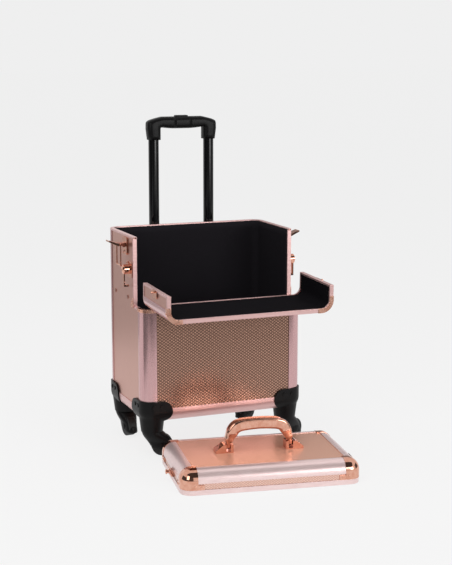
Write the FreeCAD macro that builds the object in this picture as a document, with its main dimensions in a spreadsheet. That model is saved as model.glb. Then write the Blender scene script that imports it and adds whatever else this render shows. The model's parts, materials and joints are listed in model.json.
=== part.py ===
import FreeCAD, Part
import operator
import os
from types import SimpleNamespace

import Sketcher
from FreeCAD import Placement, Rotation, Vector

# Rolling makeup train case: a lidded box of framed panels on four castors, with a drop front,
# a telescopic trolley handle at the back and a lift-off lid that lies on the floor in front.
# Millimetres. Origin on the floor under the middle of the box, X to the right, Y to the back, Z up.

SIZES = {
    # box
    "case_width": 345.0,
    "case_depth": 225.0,
    "base_height": 71.0,
    "box_height": 370.0,
    "edge_radius": 24.0,
    "skin": 1.2,
    "board": 4.0,
    "lining": 2.0,
    "profile_lip": 5.0,
    "rim_leg": 4.0,
    "opening_height": 302.0,
    "wing_width": 54.0,
    "flap_gap": 1.5,
    "seat_gap": 0.1,
    "cap_wall": 0.7,
    "cap_height": 6.0,
    "cap_reach": 32.0,
    # drop front hinge
    "flap_angle": 92.0,
    "knuckle_radius": 2.75,
    "hinge_pin_radius": 1.25,
    "running_gap": 0.05,
    "knuckle_gap": 0.3,
    "leaf_thickness": 0.8,
    "leaf_height": 14.0,
    # moulded corner housings
    "housing_wall": 3.0,
    "front_lobe_reach": 61.0,
    "side_lobe_reach": 67.0,
    "lobe_radius": 22.0,
    "lobe_height": 45.0,
    "cup_top_radius": 27.5,
    "cup_radius": 22.0,
    "cup_bottom": 50.6,
    "castor_inset": 26.0,
    "screw_head_radius": 4.0,
    "screw_head_height": 1.5,
    "screw_radius": 1.5,
    "screw_pitch": 17.0,
    "rivet_front_y": -16.0,
    "rivet_rear_y": 64.0,
    "rivet_height": 12.0,
    # castors
    "wheel_radius": 22.0,
    "wheel_width": 18.0,
    "wheel_edge": 4.0,
    "castor_trail": 20.0,
    "hood_gap": 1.2,
    "hood_wall": 1.8,
    "cheek_gap": 0.8,
    "cheek_wall": 2.5,
    "cheek_depth": 6.0,
    "crown_radius": 20.0,
    "crown_height": 4.8,
    "swivel_gap": 0.3,
    "kingpin_radius": 4.0,
    "kingpin_length": 15.0,
    "axle_radius": 3.0,
    # trolley
    "tube_spacing": 124.0,
    "tube_radius": 11.0,
    "tube_wall": 1.4,
    "slide_gap": 0.3,
    "trolley_standoff": 19.0,
    "trolley_low": 104.0,
    "trolley_high": 436.0,
    "inner_tube_length": 335.0,
    "bracket_height": 21.0,
    "bracket_margin": 6.0,
    "foot_floor": 3.0,
    "grip_top": 666.0,
    "grip_height": 31.5,
    "ferrule_length": 16.5,
    "ferrule_width": 30.0,
    "grip_width": 161.0,
    "grip_depth": 29.0,
    "tube_seat": 22.0,
    "button_length": 27.0,
    "button_width": 14.0,
    "button_rise": 2.7,
    "button_depth": 9.0,
    "button_travel": 4.0,
    "link_height": 3.0,
    "link_width": 6.0,
    "link_rod_length": 90.0,
    "link_rod_radius": 2.0,
    # lid latch
    "latch_y": -8.0,
    "latch_low": 400.0,
    "latch_high": 435.0,
    "latch_width": 28.0,
    "latch_plate": 1.8,
    "lever_pivot_z": 420.0,
    "lever_pivot_out": 6.0,
    "lever_knuckle": 4.2,
    "lever_pin_radius": 1.5,
    "lever_core": 10.0,
    "lever_width": 21.0,
    "lever_length": 31.0,
    "lever_thickness": 3.0,
    "lever_rise": 6.0,
    "bail_out": 8.0,
    "bail_length": 42.0,
    "bail_wire": 1.4,
    "bail_gap": 0.7,
    # flap latch
    "turn_y": -36.0,
    "turn_z": 374.0,
    "turn_plate_height": 31.0,
    "turn_plate_rear": 21.0,
    "turn_radius": 10.0,
    "turn_out": 14.0,
    "turn_arm_reach": 35.0,
    "turn_arm_width": 7.0,
    "turn_arm_wall": 2.5,
    "turn_finger": 4.0,
    "catch_post_radius": 2.2,
    "catch_post_out": 9.0,
    "catch_plate": 1.5,
    "catch_length": 16.0,
    "catch_height": 24.0,
    # lid
    "lid_x": 8.0,
    "lid_y": -269.0,
    "lid_yaw": -9.5,
    "lid_height": 46.4,
    "lid_radius": 22.0,
    "lid_rim": 10.0,
    "lid_lip": 3.0,
    "corner_length": 31.0,
    "corner_proud": 0.8,
    "clip_length": 12.0,
    "clip_height": 9.0,
    "catch_y": -15.0,
    "catch_width": 20.0,
    "catch_out": 8.0,
    # lid handle
    "handle_span": 131.0,
    "handle_leg": 7.5,
    "handle_depth": 17.0,
    "handle_pivot": 10.6,
    "handle_rise": 52.0,
    "handle_thickness": 20.0,
    "handle_crown": 5.0,
    "handle_pin_radius": 2.5,
    "handle_side_gap": 0.4,
    "cheek_height": 15.0,
    "bracket_depth": 24.0,
    "bracket_tail": 21.0,
    "bracket_cheek": 5.5,
}

doc = FreeCAD.newDocument("MakeupTrainCase")
sheet = doc.addObject("Spreadsheet::Sheet", "Sizes")
OPERATIONS = {"+": operator.add, "-": operator.sub, "*": operator.mul, "/": operator.truediv}


class Size:
    # a length, with the sheet formula that gives it
    def __init__(self, value, text):
        self.value = value
        self.text = text

    def __add__(self, other):
        return combine(self, "+", other)

    def __radd__(self, other):
        return combine(other, "+", self)

    def __sub__(self, other):
        return combine(self, "-", other)

    def __rsub__(self, other):
        return combine(other, "-", self)

    def __mul__(self, other):
        return combine(self, "*", other)

    def __rmul__(self, other):
        return combine(other, "*", self)

    def __truediv__(self, other):
        return combine(self, "/", other)

    def __neg__(self):
        return combine(0, "-", self)


def as_size(length):
    if isinstance(length, Size):
        return length
    return Size(float(length), f"({float(length)})")


def combine(left, sign, right):
    first = as_size(left)
    second = as_size(right)
    value = OPERATIONS[sign](first.value, second.value)
    return Size(value, f"({first.text} {sign} {second.text})")


for row, (alias, number) in enumerate(SIZES.items(), 1):
    sheet.set(f"A{row}", alias)
    sheet.set(f"B{row}", str(number))
    sheet.setAlias(f"B{row}", alias)
doc.recompute()
s = SimpleNamespace(**{alias: Size(number, f"Sizes.{alias}") for alias, number in SIZES.items()})


# helpers: bound primitives, booleans and padded outlines


def bind(thing, path, length):
    thing.setExpression(path, as_size(length).text)


def place(thing, x, y, z):
    for axis, length in zip("xyz", (x, y, z)):
        bind(thing, f"Placement.Base.{axis}", length)


def block(x, y, z):
    box = doc.addObject("Part::Box", "Block")
    for side, (low, high) in zip(("Length", "Width", "Height"), (x, y, z)):
        bind(box, side, high - low)
    place(box, x[0], y[0], z[0])
    return box


ALONG = {"x": Rotation(Vector(0, 1, 0), 90), "y": Rotation(Vector(1, 0, 0), -90), "z": Rotation()}


def rod(axis, across, span, radius):
    # a cylinder along one axis; across holds its two other coordinates in x, y, z order
    bar = doc.addObject("Part::Cylinder", "Rod")
    bind(bar, "Radius", radius)
    bind(bar, "Height", span[1] - span[0])
    bar.Placement = Placement(Vector(), ALONG[axis])
    corner = list(across)
    corner.insert("xyz".index(axis), span[0])
    place(bar, *corner)
    return bar


def cone(across, span, low_radius, high_radius):
    taper = doc.addObject("Part::Cone", "Taper")
    bind(taper, "Radius1", low_radius)
    bind(taper, "Radius2", high_radius)
    bind(taper, "Height", span[1] - span[0])
    place(taper, across[0], across[1], span[0])
    return taper


def cut(base, *tools):
    for tool in tools:
        less = doc.addObject("Part::Cut", "Less")
        less.Base = base
        less.Tool = tool
        base = less
    return base


def fuse(*pieces):
    joined = doc.addObject("Part::MultiFuse", "Joined")
    joined.Shapes = list(pieces)
    joined.Refine = True
    return joined


def common(base, tool):
    shared = doc.addObject("Part::Common", "Shared")
    shared.Base = base
    shared.Tool = tool
    return shared


def group(*pieces):
    several = doc.addObject("Part::Compound", "Several")
    several.Links = list(pieces)
    return several


def mirror(piece, normal):
    image = doc.addObject("Part::Mirroring", "Image")
    image.Source = piece
    image.Normal = normal
    return image


SIDEWAYS = Vector(1, 0, 0)
LENGTHWAYS = Vector(0, 1, 0)


def left_and_right(piece):
    return [piece, mirror(piece, SIDEWAYS)]


def at_four_corners(piece):
    front = left_and_right(piece)
    return front + [mirror(one, LENGTHWAYS) for one in front]


def attach(sketch, body, role, offset):
    plane = [feature for feature in body.Origin.OriginFeatures if feature.Role == role][0]
    sketch.AttachmentSupport = [(plane, "")]
    sketch.MapMode = "FlatFace"
    bind(sketch, "AttachmentOffset.Base.z", offset)


def draw(sketch, points):
    # a closed outline with every corner bound by its two distances from the sketch's origin
    flat = [[as_size(length) for length in point] for point in points]
    count = len(flat)
    for index, start in enumerate(flat):
        end = flat[(index + 1) % count]
        ends = [Vector(corner[0].value, corner[1].value, 0) for corner in (start, end)]
        sketch.addGeometry(Part.LineSegment(*ends))
    for index, point in enumerate(flat):
        sketch.addConstraint(Sketcher.Constraint("Coincident", index, 2, (index + 1) % count, 1))
        for kind, length in zip(("DistanceX", "DistanceY"), point):
            number = sketch.addConstraint(Sketcher.Constraint(kind, -1, 1, index, 1, length.value))
            sketch.setExpression(f"Constraints[{number}]", length.text)


FLAT_AXES = {"XY_Plane": (0, 1), "XZ_Plane": (0, 2), "YZ_Plane": (1, 2)}


def profile(role, points, span, rounds=()):
    # an outline on an origin plane, padded over a span across it;
    # rounds lists a radius with the numbers of the corners that it rounds
    body = doc.addObject("PartDesign::Body", "Profile")
    sketch = body.newObject("Sketcher::SketchObject", "Outline")
    low, high = span
    backwards = role == "XZ_Plane"
    attach(sketch, body, role, -as_size(high) if backwards else low)
    draw(sketch, points)
    pad = body.newObject("PartDesign::Pad", "Pad")
    pad.Profile = sketch
    bind(pad, "Length", high - low)
    doc.recompute()
    first, second = FLAT_AXES[role]
    feature = pad
    for radius, corners in rounds:
        wanted = [[as_size(length).value for length in points[corner]] for corner in corners]
        edges = []
        for number, edge in enumerate(feature.Shape.Edges, 1):
            ends = [(vertex.Point[first], vertex.Point[second]) for vertex in edge.Vertexes]
            for spot in wanted:
                if len(ends) == 2 and all(abs(a - spot[0]) + abs(b - spot[1]) < 1e-4 for a, b in ends):
                    edges.append(f"Edge{number}")
        soft = body.newObject("PartDesign::Fillet", "Rounding")
        soft.Base = (feature, edges)
        bind(soft, "Radius", radius)
        doc.recompute()
        feature = soft
    return body


def rectangle(across, up):
    return [(across[0], up[0]), (across[1], up[0]), (across[1], up[1]), (across[0], up[1])]


def rounded_block(x, y, z, radius):
    # a block with every edge rounded
    body = profile("XY_Plane", rectangle(x, y), z)
    pad = body.Tip
    soft = body.newObject("PartDesign::Fillet", "Rounding")
    soft.Base = (pad, [f"Edge{number}" for number in range(1, len(pad.Shape.Edges) + 1)])
    bind(soft, "Radius", radius)
    return body


def rounded(piece, radius, edges):
    soft = doc.addObject("Part::Fillet", "Softened")
    soft.Base = piece
    reach = as_size(radius).value
    soft.Edges = [(edge, reach, reach) for edge in edges]
    return soft


nodes = []


def node(label, piece, placement=None):
    if placement:
        piece = group(piece)
        piece.Placement = placement
    piece.Label = label
    nodes.append(piece)
    return piece


# driving planes of the box

half = s.case_width / 2
deep = s.case_depth / 2
bottom = s.base_height
top = bottom + s.box_height
flat_x = half - s.edge_radius
flat_y = deep - s.edge_radius
flat_z = bottom + s.edge_radius
wall = s.skin + s.board
lined = wall + s.lining
rim = lined + s.skin
opening = s.opening_height
flap_low = opening + s.flap_gap
wing_rear = s.wing_width - deep
side_edge = wing_rear + s.flap_gap
hinge_y = -deep - s.knuckle_radius
hinge_z = opening + s.flap_gap / 2
lid_flat_x = half - s.lid_radius
lid_flat_y = deep - s.lid_radius
lid_flat_z = s.lid_height - s.lid_radius
beyond = 2 * s.edge_radius


def case_block(inset):
    return rounded_block((inset - half, half - inset), (inset - deep, deep - inset),
                         (bottom + inset, top + beyond), s.edge_radius - inset)


def lid_block(inset):
    return rounded_block((inset - half, half - inset), (inset - deep, deep - inset),
                         (-beyond, s.lid_height - inset), s.lid_radius - inset)


# nested blocks, from the outside of the profiles to the inside of the rim
outer_block = case_block(0)
skin_block = case_block(s.skin)
wall_block = case_block(wall)
lined_block = case_block(lined)
rim_block = case_block(rim)
frame_shell = cut(outer_block, wall_block)
skin_shell = cut(outer_block, skin_block)
lining_shell = cut(wall_block, lined_block)
rim_shell = cut(outer_block, rim_block)
leg_shell = cut(lined_block, rim_block)
wide_x = (-half - beyond, half + beyond)


def channel(y, edge, inward):
    # a rim profile: a web across the wall's edge and two legs over its faces
    web_end = edge + inward * s.skin
    leg_end = edge + inward * s.rim_leg
    web = (web_end, edge) if inward < 0 else (edge, web_end)
    leg = (leg_end, web_end) if inward < 0 else (web_end, leg_end)
    return fuse(common(rim_shell, block(wide_x, y, web)), common(skin_shell, block(wide_x, y, leg)),
                common(leg_shell, block(wide_x, y, leg)))


def edge_trim(y_edge, inward, z):
    # a short upright channel on the edge of a side wall, left side
    web_end = y_edge + inward * s.skin
    leg_end = y_edge + inward * s.rim_leg
    web = (web_end, y_edge) if inward < 0 else (y_edge, web_end)
    leg = (leg_end, web_end) if inward < 0 else (web_end, leg_end)
    return fuse(block((-half, rim - half), web, z), block((-half, s.skin - half), leg, z),
                block((lined - half, rim - half), leg, z))


# panels of the box

side_outline = [(-flat_y, flat_z), (flat_y, flat_z), (flat_y, top - s.skin),
                (side_edge + s.skin, top - s.skin), (side_edge + s.skin, opening - s.skin),
                (-flat_y, opening - s.skin)]
node("left_side_panel", profile("YZ_Plane", side_outline, (s.skin - half, wall - half)))
node("right_side_panel", profile("YZ_Plane", side_outline, (half - wall, half - s.skin)))
node("back_panel", block((-flat_x, flat_x), (deep - wall, deep - s.skin), (flat_z, top - s.skin)))
node("front_panel", block((-flat_x, flat_x), (s.skin - deep, wall - deep), (flat_z, opening - s.skin)))
node("base_panel", block((-flat_x, flat_x), (-flat_y, flat_y), (bottom + s.skin, bottom + wall)))
all_y = (-deep - beyond, deep + beyond)
lining_zone = fuse(block(wide_x, all_y, (0, opening - s.skin)),
                   block(wide_x, (side_edge + s.skin, deep + beyond), (bottom, top - s.skin)))
node("case_lining", common(lining_shell, lining_zone))


# extruded profiles that frame the panels


def corner_profiles(core, lip):
    # upright front corners: a rounded core, and lips that lap the panels beside it
    body = common(frame_shell, block((-half, -flat_x), (-deep, -flat_y), core))
    lip_x = (-half, s.profile_lip - flat_x)
    lips = common(skin_shell, block(lip_x, (-deep, s.profile_lip - flat_y), lip))
    return group(*left_and_right(fuse(body, lips)))


lip_low = flat_z + s.profile_lip
front_high = opening - s.rim_leg
rear_high = top - s.rim_leg
node("front_corner_profiles", corner_profiles((flat_z, front_high), (lip_low, front_high)))
node("rear_corner_profiles", mirror(corner_profiles((flat_z, rear_high), (lip_low, rear_high)), LENGTHWAYS))

lip_z = (bottom, lip_low)
front_base = fuse(common(frame_shell, block((-flat_x, flat_x), (-deep, -flat_y), (bottom, flat_z))),
                  common(skin_shell, block((-flat_x, flat_x), (-deep, s.profile_lip - flat_y), lip_z)))
side_span = (s.profile_lip - flat_y, flat_y - s.profile_lip)
side_base = fuse(common(frame_shell, block((-half, -flat_x), (-flat_y, flat_y), (bottom, flat_z))),
                 common(skin_shell, block((-half, -flat_x), (-flat_y, flat_y), lip_z)),
                 common(skin_shell, block((-half, s.profile_lip - flat_x), side_span, (bottom, flat_z))))
node("base_edge_profiles", group(front_base, mirror(front_base, LENGTHWAYS), *left_and_right(side_base)))
node("top_rim", channel((side_edge, deep + beyond), top, -1))
node("opening_rim", channel((-deep - beyond, side_edge + s.skin), opening, -1))
node("side_edge_trims", group(*left_and_right(edge_trim(side_edge, 1, (opening, top - s.rim_leg)))))

# cast angle pieces where the upright trims meet the opening's rim
angle_reach = 4 * s.rim_leg
angle_outline = [(side_edge, opening - s.rim_leg), (side_edge + angle_reach, opening - s.rim_leg),
                 (side_edge + angle_reach, opening + s.rim_leg),
                 (side_edge + 2 * s.rim_leg, opening + s.rim_leg),
                 (side_edge + 2 * s.rim_leg, opening + angle_reach), (side_edge, opening + angle_reach)]
angle_piece = profile("YZ_Plane", angle_outline, (-half - s.skin, -half), [(s.rim_leg, [1, 4])])
proud_block = case_block(-s.cap_wall)
proud_shell = cut(proud_block, rim_block)


def rim_cap(edge):
    # a thin cast cap over the rim at the left front corner
    reach_x = (-half - beyond, s.cap_reach - half)
    reach_y = (-deep - beyond, s.cap_reach - deep)
    cover = common(proud_shell, block(reach_x, reach_y, (edge - s.cap_height, edge + s.cap_wall)))
    return cut(cover, common(outer_block, block(reach_x, reach_y, (edge - beyond, edge))))


node("opening_brackets", group(*left_and_right(angle_piece), *left_and_right(rim_cap(opening))))

# moulded corner housings with the castor cups

castor_x = half - s.castor_inset
castor_y = deep - s.castor_inset
guard_block = case_block(-s.housing_wall)
guard_shell = cut(guard_block, outer_block)
lobe_top = bottom + s.lobe_height
lobe_z = lobe_top - s.lobe_radius
front_lobe_x = s.front_lobe_reach - s.lobe_radius - half
side_lobe_y = s.side_lobe_reach - s.lobe_radius - deep
lobe_out_x = -half - s.lobe_radius
lobe_out_y = -deep - s.lobe_radius
lobes = fuse(block((lobe_out_x, front_lobe_x), (lobe_out_y, -flat_y), (0, lobe_top)),
             rod("y", (front_lobe_x, lobe_z), (lobe_out_y, -flat_y), s.lobe_radius),
             block((lobe_out_x, -flat_x), (lobe_out_y, side_lobe_y), (0, lobe_top)),
             rod("x", (side_lobe_y, lobe_z), (lobe_out_x, -flat_x), s.lobe_radius))
guard = common(guard_shell, lobes)
cup = cone((-castor_x, -castor_y), (s.cup_bottom, bottom + s.edge_radius), s.cup_radius, s.cup_top_radius)
kingpin_top = s.cup_bottom - s.swivel_gap + s.kingpin_length
kingpin_bore = rod("z", (-castor_x, -castor_y), (0, kingpin_top + s.running_gap),
                   s.kingpin_radius + s.running_gap)
screw_z = lobe_z + s.lobe_radius / 2
front_screws = [front_lobe_x, front_lobe_x - s.screw_pitch]
side_screws = [side_lobe_y, side_lobe_y - s.screw_pitch]
guard_out_x = -half - s.housing_wall
guard_out_y = -deep - s.housing_wall


def screw(axis, across, face):
    # a domed head on a flange that faces the low end of the axis, with its shank in the flange
    head = rod(axis, across, (face - s.screw_head_height, face), s.screw_head_radius)
    shank = rod(axis, across, (face, face + s.housing_wall), s.screw_radius)
    return fuse(head, shank)


screw_hole = s.screw_radius + s.seat_gap
front_holes = [rod("y", (x, screw_z), (guard_out_y, -deep), screw_hole) for x in front_screws]
side_holes = [rod("x", (y, screw_z), (guard_out_x, -half), screw_hole) for y in side_screws]
housing = cut(fuse(guard, cut(cup, outer_block)), kingpin_bore, *front_holes, *side_holes)
node("corner_housings", group(*at_four_corners(housing)))
corner_screws = [screw("y", (x, screw_z), guard_out_y) for x in front_screws]
corner_screws += [screw("x", (y, screw_z), guard_out_x) for y in side_screws]
screws = at_four_corners(group(*corner_screws))
rivet_face = (s.skin - half - s.screw_head_height, s.skin - half)
rivets = [rod("x", (y, opening + s.rivet_height), rivet_face, s.screw_head_radius)
          for y in (s.rivet_front_y, s.rivet_rear_y)]
node("case_fasteners", group(*screws, *left_and_right(group(*rivets))))

# drop front, drawn shut, then swung open about its hinge

hinge_line = Vector(0, hinge_y.value, hinge_z.value)
swing = Placement(Vector(), Rotation(SIDEWAYS, s.flap_angle.value), hinge_line)
flap_z = (flap_low + s.skin, top - s.skin)
flap_open_z = (flap_low + s.rim_leg, top - s.rim_leg)
wing_y = (-deep - beyond, wing_rear)
node("flap_panel", block((-flat_x, flat_x), (s.skin - deep, wall - deep), flap_z), swing)
wing = block((s.skin - half, wall - half), (-flat_y, wing_rear - s.skin), flap_z)
node("flap_wings", group(*left_and_right(wing)), swing)
node("flap_corner_profiles", corner_profiles(flap_open_z, flap_open_z), swing)
wing_trims = left_and_right(edge_trim(wing_rear, -1, flap_open_z))
node("flap_rim", fuse(channel(wing_y, top, -1), channel(wing_y, flap_low, 1), *wing_trims), swing)
node("flap_corner_caps", group(*left_and_right(rim_cap(top))), swing)
lining_y = (-deep - beyond, wing_rear - s.skin)
node("flap_lining", common(lining_shell, block(wide_x, lining_y, flap_z)), swing)

# piano hinge with alternate knuckles on one pin

knuckle_count = 9
hinge_half = half - s.cap_reach - s.flap_gap
knuckle_pitch = 2 * hinge_half / knuckle_count
pin_bore = rod("x", (hinge_y, hinge_z), (-half, half), s.hinge_pin_radius + s.running_gap)
leaf_y = (-deep - s.leaf_thickness, -deep)


def hinge_leaf(first, upward):
    root = hinge_z + upward * (s.knuckle_radius + s.knuckle_gap)
    edge = hinge_z + upward * s.leaf_height
    plate = block((-hinge_half, hinge_half), leaf_y, (root, edge) if upward > 0 else (edge, root))
    pieces = [plate]
    for index in range(first, knuckle_count, 2):
        start = index * knuckle_pitch - hinge_half
        span = (start + s.knuckle_gap / 2, start + knuckle_pitch - s.knuckle_gap / 2)
        pieces.append(rod("x", (hinge_y, hinge_z), span, s.knuckle_radius))
        pieces.append(block(span, leaf_y, (hinge_z, root) if upward > 0 else (root, hinge_z)))
    return cut(fuse(*pieces), pin_bore)


node("case_hinge_leaf", hinge_leaf(0, -1))
node("flap_hinge_leaf", hinge_leaf(1, 1), swing)
node("hinge_pin", rod("x", (hinge_y, hinge_z), (-hinge_half, hinge_half), s.hinge_pin_radius))

# castors: a hooded fork that swivels on its kingpin and a wheel on its axle

crown_top = s.cup_bottom - s.swivel_gap
hood_inside = s.wheel_radius + s.hood_gap
hood_outside = hood_inside + s.hood_wall
cheek_inside = s.wheel_width / 2 + s.cheek_gap
cheek_outside = cheek_inside + s.cheek_wall
wheel_axis = (s.castor_trail, s.wheel_radius)
hood_zone = (s.wheel_radius - s.cheek_depth, crown_top)


def castor_fork():
    hood = cut(rod("y", wheel_axis, (-cheek_outside, cheek_outside), hood_outside),
               rod("y", wheel_axis, (-cheek_inside, cheek_inside), hood_inside))
    zone = block((-half, half), (-deep, deep), hood_zone)
    crown = cut(rod("z", (0, 0), (crown_top - s.crown_height, crown_top), s.crown_radius),
                rod("y", wheel_axis, (-cheek_inside, cheek_inside), hood_inside))
    kingpin = rod("z", (0, 0), (crown_top - s.crown_height, crown_top + s.kingpin_length), s.kingpin_radius)
    axle = rod("y", wheel_axis, (-cheek_outside, cheek_outside), s.axle_radius)
    return fuse(common(hood, zone), crown, kingpin, axle)


def castor_wheel():
    width = (-s.wheel_width / 2, s.wheel_width / 2)
    tyre = rounded(rod("y", wheel_axis, width, s.wheel_radius), s.wheel_edge, (1, 3))
    return cut(tyre, rod("y", wheel_axis, width, s.axle_radius + s.running_gap))


CASTORS = {
    "front_left": (-1, -1, -10),
    "front_right": (1, -1, 20),
    "rear_left": (-1, 1, -85),
    "rear_right": (1, 1, 200),
}
for corner, (across, along, heading) in CASTORS.items():
    spot = Placement(Vector(across * castor_x.value, along * castor_y.value, 0),
                     Rotation(Vector(0, 0, 1), heading))
    node(f"castor_fork_{corner}", castor_fork(), spot)
    node(f"castor_wheel_{corner}", castor_wheel(), spot)

# telescopic trolley: fixed outer tubes, two sliding stages, grip and release button

tube_x = s.tube_spacing / 2
tube_y = deep + s.trolley_standoff
tube_spot = (-tube_x, tube_y)
middle_inside = s.tube_radius + s.slide_gap
middle_outside = middle_inside + s.tube_wall
outer_inside = middle_outside + s.slide_gap
outer_outside = outer_inside + s.tube_wall
grip_underside = s.grip_top - s.grip_height
ferrule_bottom = grip_underside - s.ferrule_length
inner_top = ferrule_bottom + s.tube_seat


def tube_pair(z, outside, inside):
    left = cut(rod("z", tube_spot, z, outside), rod("z", tube_spot, z, inside))
    return group(*left_and_right(left))


def tube_carrier(z):
    # a moulded cross piece on the back panel that holds both outer tubes
    reach = tube_x + outer_outside + s.bracket_margin
    back = tube_y + outer_outside + s.bracket_margin / 2
    outline = rectangle((-reach, reach), (deep - s.skin, back))
    return profile("XY_Plane", outline, z, [(s.bracket_margin, [2, 3])])


foot_z = (s.trolley_low - s.foot_floor, s.trolley_low - s.foot_floor + s.bracket_height)
bracket_z = (s.trolley_high - s.bracket_height, s.trolley_high)
outer_seat = outer_outside + s.seat_gap
bracket_seats = left_and_right(rod("z", tube_spot, bracket_z, outer_seat))
foot_seats = left_and_right(rod("z", tube_spot, (s.trolley_low, foot_z[1]), outer_seat))
middle_z = (s.trolley_low + s.foot_floor, s.trolley_high)
inner_z = (inner_top - s.inner_tube_length, inner_top)
node("trolley_top_bracket", cut(tube_carrier(bracket_z), *bracket_seats))
node("trolley_foot", cut(tube_carrier(foot_z), *foot_seats))
node("outer_tubes", tube_pair((s.trolley_low, s.trolley_high), outer_outside, outer_inside))
node("middle_tubes", tube_pair(middle_z, middle_outside, middle_inside))
node("inner_tubes", tube_pair(inner_z, s.tube_radius, s.tube_radius - s.tube_wall))

grip_x = s.grip_width / 2
ferrule_in = tube_x - s.ferrule_width / 2
ferrule_out = tube_x + s.ferrule_width / 2
shoulder = grip_underside + (s.grip_top - grip_underside) / 3
grip_outline = [(-grip_x, s.grip_top), (-grip_x, shoulder), (-ferrule_out, grip_underside),
                (-ferrule_out, ferrule_bottom), (-ferrule_in, ferrule_bottom),
                (-ferrule_in, grip_underside), (ferrule_in, grip_underside),
                (ferrule_in, ferrule_bottom), (ferrule_out, ferrule_bottom),
                (ferrule_out, grip_underside), (grip_x, shoulder), (grip_x, s.grip_top)]
grip_y = (tube_y - s.grip_depth / 2, tube_y + s.grip_depth / 2)
grip_round = (s.grip_top - shoulder) / 2
grip_body = profile("XZ_Plane", grip_outline, grip_y, [(grip_round, [0, 11]), (s.rim_leg, [5, 6])])
button_half = s.button_length / 2
button_wide = s.button_width / 2
button_low = s.grip_top - s.button_depth
pocket_low = button_low - s.button_travel - s.slide_gap
link_top = button_low - s.link_height
link_low = link_top - s.link_height
link_half = s.link_width / 2
channel_low = link_low - s.button_travel - s.slide_gap
slack = 2 * s.slide_gap


def about_tubes(half_x, half_y, z):
    # a block centred on the plane of the tubes
    return block((-half_x, half_x), (tube_y - half_y, tube_y + half_y), z)


link_x = tube_x + link_half
pocket = about_tubes(button_half + slack, button_wide + slack, (pocket_low, s.grip_top + beyond))
link_channel = about_tubes(link_x + slack, link_half + slack, (channel_low, pocket_low + s.link_height))
tube_hole = s.tube_radius + s.seat_gap
tube_seats = left_and_right(rod("z", tube_spot, (ferrule_bottom, inner_top), tube_hole))
rod_ways = left_and_right(rod("z", tube_spot, (inner_top, channel_low), s.link_rod_radius + slack))
node("trolley_grip", cut(grip_body, pocket, link_channel, *tube_seats, *rod_ways))
button_z = (button_low, s.grip_top + s.button_rise)
button_y = (tube_y - button_wide, tube_y + button_wide)
button_outline = rectangle((-button_half, button_half), button_z)
node("release_button", profile("XZ_Plane", button_outline, button_y, [(s.button_rise / 2, [2, 3])]))
link_bar = about_tubes(link_x, link_half, (link_low, link_top))
link_stem = about_tubes(link_half, link_half, (link_top, button_low))
link_rods = left_and_right(rod("z", tube_spot, (link_low - s.link_rod_length, link_low), s.link_rod_radius))
node("lock_linkage", fuse(link_bar, link_stem, *link_rods))

# lid draw latches on the sides: base, lever on a pin and hanging bail

latch_y = (s.latch_y - s.latch_width / 2, s.latch_y + s.latch_width / 2)
plate_x = (-half - s.latch_plate, s.skin - half)
pivot_x = -half - s.lever_pivot_out
pivot = (pivot_x, s.lever_pivot_z)
core_y = (s.latch_y - s.lever_core / 2, s.latch_y + s.lever_core / 2)
lever_y = (s.latch_y - s.lever_width / 2, s.latch_y + s.lever_width / 2)
pivot_bore = rod("y", pivot, lever_y, s.lever_pin_radius + s.running_gap)
latch_outline = rectangle(latch_y, (s.latch_low, s.latch_high))
latch_plate = profile("YZ_Plane", latch_outline, plate_x, [(s.rim_leg, [0, 1, 2, 3])])
knuckle_z = (s.lever_pivot_z - s.lever_knuckle, s.lever_pivot_z + s.lever_knuckle)
latch_boss = fuse(rod("y", pivot, core_y, s.lever_knuckle),
                  block((pivot_x, -half - s.latch_plate), core_y, knuckle_z))
latch_base = cut(fuse(latch_plate, latch_boss), pivot_bore)
node("lid_latch_bases", group(*left_and_right(latch_base)))
lever_pin = rod("y", pivot, lever_y, s.lever_pin_radius)
arm_gap_y = (core_y[0] - s.slide_gap, core_y[1] + s.slide_gap)
lever_tip = pivot_x - s.lever_length
bail_x = pivot_x - s.bail_out
bail_z = s.lever_pivot_z + s.lever_thickness / 2
bail_spot = (bail_x, bail_z)
lever_low = s.lever_pivot_z - s.lever_thickness / 2
lever_high = s.lever_pivot_z + s.lever_knuckle
tip_high = lever_high + s.lever_rise
lever_outline = [(pivot_x, lever_low), (pivot_x, lever_high), (bail_x - s.lever_knuckle, lever_high),
                 (lever_tip, tip_high), (lever_tip, tip_high - s.lever_thickness),
                 (bail_x - s.lever_knuckle, lever_low)]
clear_core = rod("y", pivot, arm_gap_y, s.lever_knuckle + s.slide_gap)
clear_boss = block((pivot_x, -half), arm_gap_y, (s.latch_low, s.latch_high))
lever_blank = fuse(profile("XZ_Plane", lever_outline, lever_y), rod("y", pivot, lever_y, s.lever_knuckle))
lever_body = cut(lever_blank, clear_core, clear_boss)
bail_hole = rod("y", bail_spot, lever_y, s.bail_wire + s.running_gap)
left_lever = node("left_lid_latch_lever", fuse(cut(lever_body, bail_hole), lever_pin))
node("right_lid_latch_lever", mirror(left_lever, SIDEWAYS))
leg_y = s.lever_width / 2 + s.bail_gap + s.bail_wire
bail_legs_y = [s.latch_y - leg_y, s.latch_y + leg_y]
bail_foot = bail_z - s.bail_length
bail_across = (bail_legs_y[0] - s.bail_wire, bail_legs_y[1] + s.bail_wire)
bail_legs = [rod("z", (bail_x, y), (bail_foot, bail_z), s.bail_wire) for y in bail_legs_y]
bail_bars = [rod("y", (bail_x, z), bail_across, s.bail_wire) for z in (bail_foot, bail_z)]
left_bail = node("left_lid_latch_bail", fuse(*bail_legs, *bail_bars))
node("right_lid_latch_bail", mirror(left_bail, SIDEWAYS))

# drop-front latches on the sides: plate and turn knob, with a catch on each wing

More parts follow.
